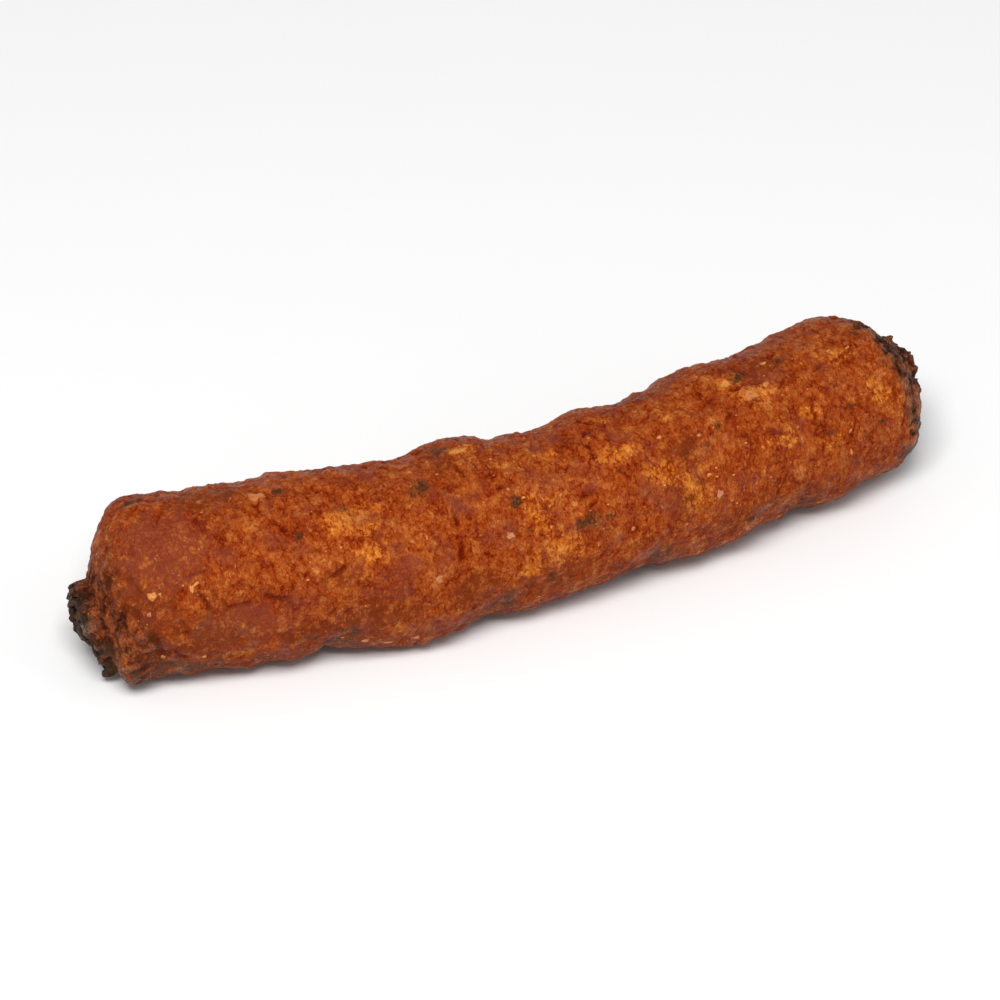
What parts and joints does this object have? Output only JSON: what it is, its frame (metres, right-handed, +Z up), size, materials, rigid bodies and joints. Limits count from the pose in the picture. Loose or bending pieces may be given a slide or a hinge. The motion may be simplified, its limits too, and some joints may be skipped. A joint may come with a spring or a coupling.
{
  "type": "frikandel sausage",
  "caption": "Deep-fried skinless minced-meat sausage, slightly bent, with a lumpy red-brown crust, rack marks underneath and torn crusty ends.",
  "frame": {"origin": "centre of the rectangle that the sausage covers on the surface it lies on, at that surface", "axes": "+Z up, +X along the sausage from its large torn end to its small one, -Y towards the outer side of its bend"},
  "size_m": [0.1674, 0.0412, 0.0316],
  "materials": {
    "fried_crust": "fried meat crust, satin with a thin film of oil, red-brown and amber with dark specks"
  },
  "bodies": {
    "root": {"frikandel": "fried_crust"}
  },
  "joints": []
}
